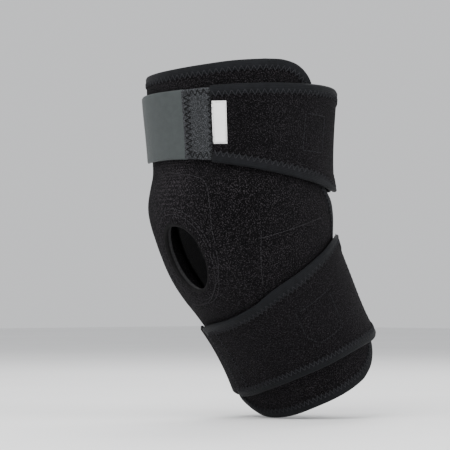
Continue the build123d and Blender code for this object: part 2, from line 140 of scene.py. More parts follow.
def place(turn, run, out):
    """Points in the row frame, in metres, that stand out millimetres off the leg."""
    turn, run, out = np.broadcast_arrays(*(np.asarray(v, float) for v in (turn, run, out)))
    out = out + swell(turn, run)
    width, depth = section(turn, run)
    x = (width + out) * np.sin(np.radians(turn))
    back = -(depth + out) * np.cos(np.radians(turn))
    bend = np.clip((BEND_REACH - run) / BEND_RADIUS, 0, REST_FLEX)
    straight = np.clip(run - BEND_REACH, 0, None)
    beyond = np.clip(-BEND_REACH - run, 0, None)
    y = BEND_RADIUS * (1 - np.cos(bend)) + beyond * math.sin(REST_FLEX)
    z = BEND_TOP - BEND_RADIUS * np.sin(bend) + straight - beyond * math.cos(REST_FLEX)
    points = np.stack([x, y + back * np.cos(bend), z + back * np.sin(bend)], axis=-1)
    return points * MM


def thigh_run(turn, line):
    """Run of a tilted level on the thigh: (height, rise towards the outer side, rise backwards)."""
    width, depth = section(turn, 60.0)
    t = np.radians(turn)
    return line[0] + line[1] * width * np.sin(t) - line[2] * depth * np.cos(t) + LAG


def calf_run(turn, line):
    """Run of a tilted level on the calf, given in the same way."""
    width, depth = section(turn, -60.0)
    t = np.radians(turn)
    return line[0] + line[1] * width * np.sin(t) - line[2] * depth * np.cos(t) - LAG


# ---- lines on the brace, as (turn, run)

BODY_TOP = ((-100, 108.5), (-70, 105), (-35, 103), (0, 104.4), (22, 106.5), (41, 108.8), (60, 110.2))
BODY_TOP_CORNER = ((72, 109.9), (81, 107.2), (88, 102.2), (93, 96))
FLAP_REAR = ((96, 85), (101, 60), (106, 42), (112, 25), (117, 12), (120, 1))
LOW_FLAP_REAR = ((120, 1), (121.5, -9), (123, -22), (127, -50), (129, -80), (128, -98))
LOW_CORNER = ((123, -107), (114, -112.5), (104, -116.4))
LOW_EDGE = (
    (89, -119.5), (69, -120), (41, -121), (12, -124), (-8, -124), (-30, -118.5),
    (-60, -117), (-100, -120),
)
STRAP_TOP = (
    (-56, 89), (-32, 89.7), (12, 90.9), (29, 92.1), (60, 93.9), (81, 94.5),
    (118, 94), (132, 92.5), (146, 89.5),
)
STRAP_FOOT = (
    (-56, 45), (-31, 44.5), (6, 44.6), (25, 43.4), (40, 41.2), (60, 37.6),
    (83, 32.9), (102, 28.8), (118, 23.8), (125, 22.4), (134, 26), (146, 36.2),
)
LOW_STRAP_TOP = (
    (-60, -60), (-32, -52), (-10, -43.5), (10, -38.8), (29, -33.5), (49, -27.7),
    (72, -24.5), (93, -21.9), (117, -20.8), (124, -22.5), (133, -29.5), (146, -39.5),
)
LOW_STRAP_FOOT = (
    (-60, -114.5), (-30, -109), (-10, -104.8), (16, -98), (39, -94.7), (67, -94.5),
    (88, -96.5), (120, -105.4), (146, -111),
)
HOLE = (
    (-1.5, 12), (-10, 10), (-15, 3.4), (-16.5, -3.2), (-14.5, -10.8), (-8, -17),
    (-1, -18.8), (7, -16.6), (13, -10), (14.8, -3), (13, 4.2), (7.5, 9.8),
)
OVAL = (
    (1, 35.4), (-10, 36.8), (-18.5, 33), (-24.5, 22), (-27, 7), (-27.3, -8),
    (-25, -20), (-18.5, -26.5), (-8, -27), (5, -23.8), (15, -16.5), (21.8, -8.7),
    (24.3, 0), (25, 10), (25.6, 20), (23, 29), (13, 33.6),
)

# Inner and outer face of the fabrics, in millimetres off the leg.
BODY = (0.6, 3.4)
STRAP = (5.0, 7.4)
LOOP_END = (5.1, 7.6)
TAB_FACES = (5.3, 7.2)
HOOK_FACES = (4.35, 5.2)
CAP_FACES = (-1.7, 0.2)
POCKET_FACES = (-2.7, -1.9)
LABEL_FACES = (7.45, 8.0)

TAPE_LAP = 6.0  # how far the tape reaches in from an edge
TAPE_FOLD = 0.9  # how far it stands past the edge
TAPE_STITCH = 5.2  # how far in its stitches run
STRAP_START = 27.5  # where the upper strap's loop fabric ends
STRAP_ROOT = 146  # where both straps are sewn to the wings
ROOT_STITCH = 138
SAME_PLACE = 0.3  # points of an outline that are closer than this count as one
FLAP_SEAM = 120.2  # the flap's edge at the middle of the knee


def lengths_along(path):
    """How far each point of a path is from its start, in millimetres."""
    gaps = np.linalg.norm(np.diff(path * (DEG_MM, 1), axis=0), axis=1)
    return np.concatenate([[0], np.cumsum(gaps)])


def smooth_line(points, step=2.0, closed=False):
    """Points about a step apart, in millimetres, along a smooth line through the given ones."""
    pts = np.array(points, float)
    if closed:
        pts = np.vstack([pts[-2:], pts, pts[:3]])
    along = lengths_along(pts)
    start, end = (along[2], along[-3]) if closed else (0.0, along[-1])
    count = max(2, int(round((end - start) / step)) + 1)
    at = np.linspace(start, end, count)
    line = np.stack([curve(at, along, pts[:, 0]), curve(at, along, pts[:, 1])], axis=1)
    return line[:-1] if closed else line


def straight_line(a, b, step=2.0):
    """Points about a step apart, in millimetres, from one place to another."""
    count = max(2, int(round(math.hypot((b[0] - a[0]) * DEG_MM, b[1] - a[1]) / step)) + 1)
    return np.linspace(a, b, count)


def resample(line, count):
    """The same line with a number of evenly spaced points."""
    along = lengths_along(line)
    at = np.linspace(0, along[-1], count)
    return np.stack([np.interp(at, along, line[:, 0]), np.interp(at, along, line[:, 1])], axis=1)


def join(*lines):
    """One outline out of lines that follow one another, without repeated points."""
    points = np.vstack(lines)
    keep = [0]
    for i in range(1, len(points)):
        if np.linalg.norm((points[i] - points[keep[-1]]) * (DEG_MM, 1)) > SAME_PLACE:
            keep.append(i)
    if np.linalg.norm((points[keep[-1]] - points[0]) * (DEG_MM, 1)) < SAME_PLACE:
        keep.pop()
    return points[keep]


def run_at(line, turn):
    """Run of a line that goes once round at a turn."""
    pts = np.array(sorted(line), float)
    return curve(turn, pts[:, 0], pts[:, 1])


def part_of(line, a, b):
    """The part of a line between two turns, from a to b."""
    turns = np.linspace(a, b, max(2, int(abs(b - a) * DEG_MM / 2) + 1))
    return np.stack([turns, run_at(line, turns)], axis=1)


def shifted(line, inward, closed=False):
    """The line moved to its left by a number of millimetres."""
    pts = np.asarray(line) * (DEG_MM, 1)
    if closed:
        ahead = np.roll(pts, -1, axis=0) - np.roll(pts, 1, axis=0)
    else:
        ahead = np.gradient(pts, axis=0)
    ahead /= np.maximum(np.linalg.norm(ahead, axis=1, keepdims=True), 1e-9)
    left = np.stack([-ahead[:, 1], ahead[:, 0]], axis=1)
    return (pts + left * inward) / (DEG_MM, 1)


# ---- relief of the worn cloth


def relief(turn, run):
    """How far the worn body cloth stands off its even shape."""
    out = hump(turn, run, (-22, 16), (60, 19), 2.6)
    out = out + hump(turn, run, (62, 22), (42, 8), 1.5, -0.12)
    out = out + hump(turn, run, (-12, 20), (52, 8), 1.6)
    out = out - hump(turn, run, (-12, 37), (60, 7), 0.7)
    out = out - hump(turn, run, (70, 7), (30, 5), 0.9, -0.08)
    out = out + hump(turn, run, (64, -8), (30, 7), 0.9, 0.05)
    out = out - hump(turn, run, (40, -20), (22, 4), 0.6, 0.25)
    return out + hump(turn, run, (1, -3), (22, 26), 1.2)


# ---- meshes

EDGE_ROW = 0.9  # a second row of points follows the edge of cloth this far in
EDGE_EASE = 0.3  # share of the thickness that each face loses at a cut edge
SWELL_FRAMES = 10
SEWN_WIDTH = 1.7  # cloth nearer than this to a sewn line doesn't swell
RING = 5  # corners of a thread or a wire, seen end on


def new_mesh(name, verts, faces, uvs=None):
    """An object made of points in metres; uvs has one texture place for each point."""
    mesh = bpy.data.meshes.new(name)
    mesh.from_pydata([tuple(v) for v in verts], [], faces)
    if uvs is not None:
        layer = mesh.uv_layers.new(name="UVMap")
        index = np.zeros(len(mesh.loops), np.int32)
        mesh.loops.foreach_get("vertex_index", index)
        layer.data.foreach_set("uv", np.asarray(uvs, np.float32)[index].ravel())
    mesh.polygons.foreach_set("use_smooth", [True] * len(mesh.polygons))
    mesh.update()
    obj = bpy.data.objects.new(name, mesh)
    bpy.context.scene.collection.objects.link(obj)
    return obj


def inside(points, outline):
    """Which points lie in a closed outline."""
    x, y = points[:, 0][:, None], points[:, 1][:, None]
    x0, y0 = outline[:, 0][None], outline[:, 1][None]
    x1, y1 = np.roll(outline[:, 0], -1)[None], np.roll(outline[:, 1], -1)[None]
    crosses = (y0 > y) != (y1 > y)
    with np.errstate(divide="ignore", invalid="ignore"):
        hit = crosses & (x < (x1 - x0) * (y - y0) / (y1 - y0) + x0)
    return hit.sum(axis=1) % 2 == 1


def distance_to(points, outline):
    """Distance from each point to a closed outline."""
    a, b = outline, np.roll(outline, -1, axis=0)
    best = np.full(len(points), 1e9)
    for i in range(len(a)):
        d = b[i] - a[i]
        t = np.clip(((points - a[i]) @ d) / max(d @ d, 1e-12), 0, 1)
        best = np.minimum(best, np.linalg.norm(points - a[i] - t[:, None] * d, axis=1))
    return best


def cloth(name, outline, faces, spacing=2.6, seam_run=None, lift=None, sewn=(), cap=0.9):
    """A piece of cloth with thickness, cut to an outline, as a mesh.

    faces are how far its two faces stand off the leg. Its cut edges are eased, except along seam_run,
    where another piece carries on. lift adds to both faces. With sewn lines it swells between them.
    """
    loop = np.asarray(outline) * (DEG_MM, 1.0)
    low, high = loop.min(axis=0), loop.max(axis=0)
    grid = []
    for k, row in enumerate(np.arange(low[1] + spacing / 2, high[1], spacing * 0.87)):
        xs = np.arange(low[0] + spacing * (0.25 + 0.5 * (k % 2)), high[0], spacing)
        grid.append(np.stack([xs, np.full_like(xs, row)], axis=1))
    grid = np.vstack(grid)
    sides = (EDGE_ROW, -EDGE_ROW)
    rims = np.vstack([shifted(outline, side, closed=True) * (DEG_MM, 1.0) for side in sides])
    free = inside(grid, loop) & (distance_to(grid, loop) > spacing * 0.75)
    rim_free = inside(rims, loop) & (distance_to(rims, loop) > 0.6)
    points = [Vector(p) for p in np.vstack([loop, grid[free], rims[rim_free]])]
    edges = [(i, (i + 1) % len(loop)) for i in range(len(loop))]
    flat, _, tris, origin, _, _ = geometry.delaunay_2d_cdt(points, edges, [], 0, 1e-5)
    flat = np.array([tuple(p) for p in flat])
    centres = flat[np.array([list(t)[:3] for t in tris])].mean(axis=1)
    tris = [tuple(t) for t, kept in zip(tris, inside(centres, loop)) if kept]
    turn, run = flat[:, 0] / DEG_MM, flat[:, 1]
    eased = np.array([any(o < len(loop) for o in group) for group in origin])
    if seam_run is not None:
        eased &= np.abs(run - seam_run) > 0.2
    ease = np.where(eased, EDGE_EASE * (faces[1] - faces[0]), 0.0)
    raise_by = lift(turn, run) if lift else 0.0
    outer = place(turn, run, faces[1] - ease + raise_by)
    inner = place(turn, run, faces[0] + ease + raise_by)
    count = len(flat)
    used = dict.fromkeys((a, b) for t in tris for a, b in zip(t, t[1:] + t[:1]))
    all_faces = tris + [tuple(i + count for i in reversed(t)) for t in tris]
    all_faces += [(b, a, a + count, b + count) for a, b in used if (b, a) not in used]
    obj = new_mesh(name, np.vstack([outer, inner]), all_faces, np.vstack([flat, flat]) * UV_MM)
    if sewn:
        swell_between(obj, flat, sewn, loop, cap)
    return obj


def swell_between(obj, flat, sewn, rim, cap):
    """Lets foam-backed cloth swell between its sewn lines, by a short cloth simulation under pressure.

    flat are the panel's points in flat millimetres, the same for both faces. What is near a sewn line
    or under the tape on the rim stays put, and nothing moves further than cap millimetres.
    """
    held = distance_to(flat, rim) < TAPE_LAP
    for line in sewn:
        held |= distance_to(flat, np.vstack([line, line[::-1]]) * (DEG_MM, 1)) < SEWN_WIDTH
    mesh = obj.data
    rest = np.zeros(len(mesh.vertices) * 3)
    mesh.vertices.foreach_get("co", rest)
    rest = rest.reshape(-1, 3)
    group = obj.vertex_groups.new(name="sewn")
    group.add([int(i) for i in np.flatnonzero(np.concatenate([held, held]))], 1.0, "REPLACE")
    modifier = obj.modifiers.new("swelling", "CLOTH")
    settings = modifier.settings
    settings.vertex_group_mass = "sewn"
    settings.mass = 0.02
    settings.quality = 4
    settings.tension_stiffness = 5
    settings.compression_stiffness = 5
    settings.bending_stiffness = 0.05
    settings.use_pressure = True
    settings.uniform_pressure_force = 110
    settings.effector_weights.gravity = 0
    modifier.point_cache.frame_end = SWELL_FRAMES
    for step in range(1, SWELL_FRAMES + 1):
        bpy.context.scene.frame_set(step)
    settled = obj.evaluated_get(bpy.context.evaluated_depsgraph_get()).data
    moved = np.zeros(len(settled.vertices) * 3)
    settled.vertices.foreach_get("co", moved)
    moved = moved.reshape(-1, 3) - rest
    obj.modifiers.remove(modifier)
    obj.vertex_groups.clear()
    reach = np.linalg.norm(moved, axis=1, keepdims=True)
    share = np.minimum(1, cap * MM / np.maximum(reach, 1e-9))
    mesh.vertices.foreach_set("co", (rest + moved * share).ravel())
    mesh.update()
    bpy.context.scene.frame_set(1)


def tape(name, path, faces, lift=None):
    """Binding tape folded over an edge, which the path follows with the cloth on its left."""
    low, high = faces
    profile = [
        (TAPE_LAP, high + 0.05),
        (TAPE_LAP - 0.35, high + 0.5),
        (TAPE_LAP * 0.5, high + 0.62),
        (0.6, high + 0.55),
        (-TAPE_FOLD * 0.7, high - 0.2),
        (-TAPE_FOLD, (low + high) / 2),
        (-TAPE_FOLD * 0.7, low + 0.2),
        (0.6, low - 0.45),
        (TAPE_LAP * 0.5, low - 0.5),
        (TAPE_LAP - 0.35, low - 0.45),
        (TAPE_LAP, low - 0.05),
    ]
    rows, flat = [], []
    length = lengths_along(path)
    for k, (inward, out) in enumerate(profile):
        line = shifted(path, inward)
        raise_by = lift(line[:, 0], line[:, 1]) if lift else 0.0
        rows.append(place(line[:, 0], line[:, 1], out + raise_by))
        flat.append(np.stack([length, np.full_like(length, k * 1.2)], axis=1))
    n, m = len(path), len(profile)
    quads = []
    for k in range(m - 1):
        for i in range(n - 1):
            quads.append((k * n + i, (k + 1) * n + i, (k + 1) * n + i + 1, k * n + i + 1))
    ends = [tuple(k * n for k in reversed(range(m))), tuple(k * n + n - 1 for k in range(m))]
    return new_mesh(name, np.vstack(rows), quads + ends, np.vstack(flat) * UV_MM)


def on_line(path, distance):
    """The points and directions at distances along a path, both in flat millimetres."""
    pts, along = path * (DEG_MM, 1), lengths_along(path)
    x = np.interp(distance, along, pts[:, 0])
    y = np.interp(distance, along, pts[:, 1])
    i = np.clip(np.searchsorted(along, distance, side="right") - 1, 0, len(pts) - 2)
    ahead = (pts[i + 1] - pts[i]) / (along[i + 1] - along[i])[:, None]
    return np.stack([x, y], axis=1), ahead


def straight_stitches(path, pitch):
    """Pairs of flat points for a row of running stitches."""
    starts = np.arange(0.3, lengths_along(path)[-1] - pitch, pitch)
    return np.stack([on_line(path, starts)[0], on_line(path, starts + pitch * 0.8)[0]], axis=1)


def zigzag_stitches(path, pitch=1.9, width=3.8):
    """Pairs of flat points for a zigzag row."""
    at = np.arange(0.3, lengths_along(path)[-1] - 0.3, pitch)
    points, ahead = on_line(path, at)
    left = np.stack([-ahead[:, 1], ahead[:, 0]], axis=1)
    side = np.where(np.arange(len(at)) % 2 == 0, 1, -1)[:, None]
    points = points + left * side * width / 2
    return np.stack([points[:-1], points[1:]], axis=1)


def tube(line, side, up, radius, base=0):
    """Points and faces of a thin round bar along a line in metres; its points count from base."""
    angles = [2 * math.pi * j / RING for j in range(RING)]
    verts = [
        line[k] + (side[k] * math.cos(w) + up[k] * math.sin(w)) * radius * MM
        for k in range(len(line))
        for w in angles
    ]
    faces = []
    for k in range(len(line) - 1):
        for j in range(RING):
            p, q = base + k * RING + j, base + k * RING + (j + 1) % RING
            faces.append((p, p + RING, q + RING, q))
    return verts, faces


def thread(name, rows):
    """All the stitches of some rows as one mesh. A row is (pairs, out, lift)."""
    verts, faces = [], []
    for pairs, out, lift in rows:
        for a, b in pairs:
            at = np.array([a, a + (b - a) * 0.2, a + (b - a) * 0.8, b])
            turn, run = at[:, 0] / DEG_MM, at[:, 1]
            raise_by = lift(turn, run) if lift else 0.0
            heights = out + raise_by + np.array([-0.25, 0.12, 0.12, -0.25])
            line = place(turn, run, heights)
            up = place(turn, run, heights + 1.0) - line
            up /= np.linalg.norm(up, axis=1, keepdims=True)
            ahead = line[-1] - line[0]
            side = np.cross(ahead / np.linalg.norm(ahead), up)
            more = tube(line, side, up, 0.28, len(verts))
            verts += more[0]
            faces += more[1]
    return new_mesh(name, verts, faces)


# ---- materials


def nodes_of(name):
    """A new material, with its node tree and shader."""
    material = bpy.data.materials.new(name)
    material.use_nodes = True
    tree = material.node_tree
    return material, tree, tree.nodes["Principled BSDF"]


def cloth_space(tree):
    """The cloth's own flat coordinates, where one unit is 100 mm."""
    return tree.nodes.new("ShaderNodeTexCoord").outputs["UV"]


def body_space(tree):
    """The object's own coordinates, in metres."""
    return tree.nodes.new("ShaderNodeTexCoord").outputs["Object"]


def feed(tree, node, inputs):
    """Fills a node's inputs: a socket is linked, anything else is a value."""
    for name, value in inputs.items():
        if isinstance(value, bpy.types.NodeSocket):
            tree.links.new(value, node.inputs[name])
        else:
            node.inputs[name].default_value = value


def noise(tree, vector, scale, detail=3.0, rough=0.6):
    """Fractal noise, from 0 to 1."""
    node = tree.nodes.new("ShaderNodeTexNoise")
    feed(tree, node, {"Scale": scale, "Detail": detail, "Roughness": rough, "Vector": vector})
    return node.outputs["Fac"]


def cells(tree, vector, scale):
    """Distance from the middle of the nearest of many scattered cells."""
    node = tree.nodes.new("ShaderNodeTexVoronoi")
    feed(tree, node, {"Scale": scale, "Vector": vector})
    return node.outputs["Distance"]


def waves(tree, vector, scale, direction="X", distortion=0.0):
    """Even bands across one direction, from 0 to 1."""
    node = tree.nodes.new("ShaderNodeTexWave")
    node.bands_direction = direction
    feed(tree, node, {"Scale": scale, "Distortion": distortion, "Vector": vector})
    return node.outputs["Fac"]


def maths(tree, operation, a, b):
    """The result of an operation on two sockets or numbers."""
    node = tree.nodes.new("ShaderNodeMath")
    node.operation = operation
    feed(tree, node, {0: a, 1: b})
    return node.outputs[0]


def ramp(tree, factor, stops):
    """A colour ramp; the darkest and the lightest stop come first."""
    node = tree.nodes.new("ShaderNodeValToRGB")
    ends = node.color_ramp.elements
    for i, (at, colour) in enumerate(stops):
        stop = ends[i] if i < 2 else ends.new(at)
        stop.position = at
        stop.color = (*colour, 1)
    feed(tree, node, {"Fac": factor})
    return node.outputs["Color"]


def bump(tree, height, strength, distance):
    """A normal that follows a height."""
    node = tree.nodes.new("ShaderNodeBump")
    feed(tree, node, {"Strength": strength, "Distance": distance, "Height": height})
    return node.outputs["Normal"]


def loop_cloth(name, dark, mid, light, sheen=0.03, pile=1.0, ribs=False):
    """Brushed loop fabric: tangled loops, a little uneven from patch to patch, with bright flecks at
    the loop tops that are painted highlight, light glinting off single fibres.

    ribs adds the worn, ribbed zone where the cloth is stretched above the kneecap.
    """
    material, tree, shader = nodes_of(name)
    flat = cloth_space(tree)
    loops = cells(tree, flat, 150)
    tangle = noise(tree, flat, 105, 3.0, 0.7)
    patches = noise(tree, flat, 5, 3.0, 0.6)
    # painted highlight: bright flecks at the middle of each loop cell stand for light glinting off
    # single fibres
    painted_glint = maths(tree, "MULTIPLY", maths(tree, "SUBTRACT", 0.5, loops), 0.52)
    fuzz = maths(tree, "MULTIPLY", tangle, 0.86)
    mixed = maths(tree, "ADD", fuzz, maths(tree, "MULTIPLY", patches, 0.1))
    mixed = maths(tree, "ADD", mixed, painted_glint)
    if ribs:
        near = tree.nodes.new("ShaderNodeVectorMath")
        near.operation = "DISTANCE"
        feed(tree, near, {0: flat, 1: (-0.06, 0.34, 0)})
        zone = tree.nodes.new("ShaderNodeMapRange")
        zone.interpolation_type = "SMOOTHSTEP"
        feed(tree, zone, {"From Min": 0.30, "From Max": 0.05, "Value": near.outputs["Value"]})
        rib = maths(tree, "MULTIPLY", waves(tree, flat, 17, "Y", 1.5), 0.11)
        mixed = maths(tree, "ADD", mixed, maths(tree, "MULTIPLY", zone.outputs["Result"], rib))
    # the lightest stop is reached mostly at the painted highlight flecks, so it is painted highlight
    # over the cloth's own dark speckle
    colour = ramp(tree, mixed, ((0.42, dark), (0.68, light), (0.55, mid)))
    depth = maths(tree, "MULTIPLY", loops, -0.9)
    height = maths(tree, "ADD", depth, maths(tree, "MULTIPLY", tangle, 1.4))
    looks = {
        "Base Color": colour,
        "Normal": bump(tree, height, pile, 0.0014),
        "Roughness": 0.9,
        "Specular IOR Level": 0.05,
        "Sheen Weight": sheen,
        "Sheen Roughness": 0.5,
        "Sheen Tint": (0.86, 0.82, 0.9, 1),
    }
    feed(tree, shader, looks)
    return material


def woven(name, dark, light, threads, sheen, rough=0.7, depth=0.0004, strength=0.5):
    """Tape or jersey with a fine regular weave and faint unevenness."""
    material, tree, shader = nodes_of(name)
    flat = cloth_space(tree)
    across = waves(tree, flat, threads, "X", 0.6)
    weave = maths(tree, "MULTIPLY", across, waves(tree, flat, threads, "Y", 0.6))
    patches = maths(tree, "MULTIPLY", noise(tree, flat, 22, 4.0, 0.65), 0.75)
    mixed = maths(tree, "ADD", maths(tree, "MULTIPLY", weave, 0.35), patches)
    looks = {
        "Base Color": ramp(tree, mixed, ((0.2, dark), (0.75, light))),
        "Normal": bump(tree, weave, strength, depth),
        "Roughness": rough,
        "Specular IOR Level": 0.1,
        "Sheen Weight": sheen,
    }
    feed(tree, shader, looks)
    return material


def solid(name, dark, light, rough, scale, strength=0.25, metal=0.0):
    """A hard part with a faint grain, in the object's own space."""
    material, tree, shader = nodes_of(name)
    grain = noise(tree, body_space(tree), scale, 4.0, 0.6)
    looks = {
        "Base Color": ramp(tree, grain, ((0.3, dark), (0.7, light))),
        "Normal": bump(tree, grain, strength, 0.0003),
        "Roughness": rough,
        "Metallic": metal,
        "Specular IOR Level": 0.5 if metal else 0.12,
    }
    feed(tree, shader, looks)
    return material


# The lightest stop given to each loop cloth below is painted highlight: the colour of light glinting
# off fibres, not of the yarn.
PILE_DARK = (0.0004, 0.0004, 0.0005)
PILE_MID = (0.0035, 0.0031, 0.0036)
LOOP = loop_cloth("loop_black", PILE_DARK, PILE_MID, (0.048, 0.042, 0.047))
LOOP_BODY = loop_cloth("loop_body", PILE_DARK, PILE_MID, (0.040, 0.035, 0.039), ribs=True)
LOOP_STRAP = loop_cloth("loop_strap", PILE_DARK, (0.0028, 0.0025, 0.003), (0.034, 0.030, 0.034))
GREY_STOPS = ((0.018, 0.019, 0.020), (0.036, 0.038, 0.041), (0.062, 0.065, 0.069))
LOOP_GREY = loop_cloth("loop_grey", *GREY_STOPS, sheen=0.04, pile=0.5)
TAPE = woven("edge_tape", (0.002, 0.0022, 0.0028), (0.0075, 0.0082, 0.010), 60, 0.02)
LINING = woven("lining_jersey", (0.003, 0.003, 0.0035), (0.009, 0.009, 0.01), 80, 0.05, 0.85)
TAB = woven("tab_skin", (0.034, 0.039, 0.039), (0.05, 0.057, 0.057), 90, 0.03, 0.55, 0.0002, 0.25)
LABEL = woven("label_satin", (0.72, 0.72, 0.72), (0.86, 0.86, 0.85), 110, 0.1, 0.45, 0.0002, 0.3)
THREAD = solid("thread_dark", (0.008, 0.008, 0.0095), (0.024, 0.024, 0.027), 0.7, 900)
THREAD_BLACK = solid("thread_black", (0.0015, 0.0015, 0.0018), (0.005, 0.005, 0.0055), 0.7, 900)
THREAD_GREY = solid("thread_grey", (0.010, 0.0095, 0.011), (0.03, 0.028, 0.031), 0.7, 900)
THREAD_PALE = solid("thread_pale", (0.55, 0.55, 0.55), (0.75, 0.75, 0.74), 0.7, 900)
RAW_EDGE = solid("raw_edge_foam", (0.002, 0.002, 0.0022), (0.009, 0.0085, 0.009), 0.85, 700, 0.6)
FOAM = solid("buttress_foam", (0.02, 0.02, 0.021), (0.045, 0.044, 0.046), 0.9, 600, 0.5)
STEEL = solid("stay_steel", (0.42, 0.43, 0.45), (0.62, 0.63, 0.65), 0.32, 500, 0.1, metal=1.0)
CAP = solid("stay_cap", (0.03, 0.03, 0.032), (0.06, 0.06, 0.064), 0.5, 300, 0.1)
HOOKS = solid("hook_field", (0.006, 0.006, 0.0065), (0.05, 0.05, 0.053), 0.6, 1300, 0.9)


def dress(obj, material):
    """Gives a piece its material and its colour slot."""
    obj.data.materials.append(material)
    return obj


# ---- how pieces follow the bodies
# ---- pieces placed for good: these only bake a piece's placement into its points


def on_thigh(obj):
    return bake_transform(obj)


def on_calf(obj):
    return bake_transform(obj)


def on_upper_strap(obj):
    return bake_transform(obj)


def on_lower_strap(obj):
    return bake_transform(obj)


def on_upper_tab(obj):
    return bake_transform(obj)


def on_lower_tab(obj):
    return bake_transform(obj)


# ---- body panels

INNER_SEAM = -99.0  # the front panels meet the back wings here
KNEE_REACH = INNER_SEAM - 8  # the stretch panels go on to here
body_top_inner = part_of(BODY_TOP, INNER_SEAM, 60)
flap_line = smooth_line(BODY_TOP[-1:] + BODY_TOP_CORNER + FLAP_REAR)
low_flap_line = smooth_line(LOW_FLAP_REAR + LOW_CORNER + LOW_EDGE[:1])
low_edge = part_of(LOW_EDGE, 89, INNER_SEAM)
hole = smooth_line(HOLE, 1.6, closed=True)


def knee_crossings(ring):
    """Turns at which a closed line crosses the middle of the knee, on the inner and outer side."""
    found = []
    for a, b in zip(ring, np.roll(ring, -1, axis=0)):
        if (a[1] > 0) != (b[1] > 0):
            found.append(a[0] - (b[0] - a[0]) * a[1] / (b[1] - a[1]))
    return sorted(found)


hole_in, hole_out = knee_crossings(hole)


def half_ring(line, upper, ends):
    """The half of a closed line above or below the middle of the knee, between two end turns."""
    half = line[(line[:, 1] > 0.3) if upper else (line[:, 1] < -0.3)]
    angle = np.arctan2(half[:, 1], (half[:, 0] - 1) * DEG_MM)
    half = half[np.argsort(angle)]
    if (half[0, 0] > half[-1, 0]) != (ends[0] > ends[1]):
        half = half[::-1]
    return np.vstack([[(ends[0], 0)], half, [(ends[1], 0)]])


def round_hole(upper, away):
    """The upper or lower half of a line round the patella opening, at a distance from its edge."""
    ring = shifted(hole, -away, closed=True)
    return half_ring(ring, upper, knee_crossings(ring))


upper_outline = join(
    body_top_inner,
    flap_line,
    straight_line((FLAP_SEAM, 0), (hole_out, 0)),
    half_ring(hole, True, (hole_out, hole_in)),
    straight_line((hole_in, 0), (KNEE_REACH, 0)),
    straight_line((KNEE_REACH, 0), (KNEE_REACH, 24)),
    straight_line((KNEE_REACH, 24), (INNER_SEAM, 26)),
    straight_line((INNER_SEAM, 26), (INNER_SEAM, run_at(BODY_TOP, INNER_SEAM))),
)[::-1]
lower_outline = join(
    low_flap_line,
    low_edge,
    straight_line((INNER_SEAM, run_at(LOW_EDGE, INNER_SEAM)), (INNER_SEAM, -22)),
    straight_line((INNER_SEAM, -22), (KNEE_REACH, -20)),
    straight_line((KNEE_REACH, -20), (KNEE_REACH, 0)),
    straight_line((KNEE_REACH, 0), (hole_in, 0)),
    half_ring(hole, False, (hole_in, hole_out)),
    straight_line((hole_out, 0), (FLAP_SEAM, 0)),
)[::-1]
oval = smooth_line(OVAL, 1.6, closed=True)
oval_upper = half_ring(oval, True, knee_crossings(oval))
oval_lower = half_ring(oval, False, knee_crossings(oval))
POCKET_LINE = straight_line((54, 1.4), (103, 3.6))
POCKET_SIDE = straight_line((53, -0.3), (44, -24))
upper_seams = [oval_upper, round_hole(True, 7.2), POCKET_LINE]
lower_seams = [oval_lower, round_hole(False, 7.2), POCKET_SIDE]
upper_body = cloth("upper_body_cloth", upper_outline, BODY, seam_run=0, lift=relief, sewn=upper_seams)
lower_body = cloth("lower_body_cloth", lower_outline, BODY, seam_run=0, lift=relief, sewn=lower_seams)
dress(upper_body, LOOP_BODY)
dress(lower_body, LOOP_BODY)
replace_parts(upper_body, "upper_front_panel", "upper_stretch_panel", "patella_panel")
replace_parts(lower_body, "lower_front_panel", "lower_stretch_panel")

upper_edge = join(body_top_inner, flap_line)[::-1]
lower_edge = join(low_flap_line, low_edge)[::-1]
upper_tape = dress(tape("upper_body_tape", upper_edge, BODY, lift=relief), TAPE)
lower_tape = dress(tape("lower_body_tape", lower_edge, BODY, lift=relief), TAPE)
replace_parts(upper_tape, "upper_panel_binding")
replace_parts(lower_tape, "lower_panel_binding")

# ---- rim and foam of the patella opening

RIM = ((1.3, 3.2), (0.8, 3.5), (0.2, 3.3), (-0.3, 2.4), (-0.35, 1.4), (0.1, 0.5), (1.3, 0.7))


def ring_strip(name, upper, profile):
    """A strip round half of the opening: the profile is (distance out from its edge, height)."""
    rows, flat = [], []
    for k, (away, out) in enumerate(profile):
        arc = resample(round_hole(upper, away), 44)
        rows.append(place(arc[:, 0], arc[:, 1], out + relief(arc[:, 0], arc[:, 1])))
        flat.append(np.stack([np.linspace(0, 60, len(arc)), np.full(len(arc), k * 1.5)], axis=1))
    n = len(rows[0])
    faces = []
    for k in range(len(profile) - 1):
        for i in range(n - 1):
            faces.append((k * n + i, k * n + i + 1, (k + 1) * n + i + 1, (k + 1) * n + i))
    return new_mesh(name, np.vstack(rows), faces, np.vstack(flat) * UV_MM)


upper_rim = dress(ring_strip("upper_opening_rim", True, RIM), RAW_EDGE)
lower_rim = dress(ring_strip("lower_opening_rim", False, RIM), RAW_EDGE)

FOAM_RING = ((0.6, 0.35), (0.9, -2.0), (2.5, -2.6), (6.5, -2.6), (8.0, -2.1), (8.5, 0.35), (0.6, 0.35))
upper_foam = dress(ring_strip("upper_foam_ring", True, FOAM_RING), FOAM)
lower_foam = dress(ring_strip("lower_foam_ring", False, FOAM_RING), FOAM)
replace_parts(upper_foam, "patella_buttress")

# ---- back wings, round the back of the leg

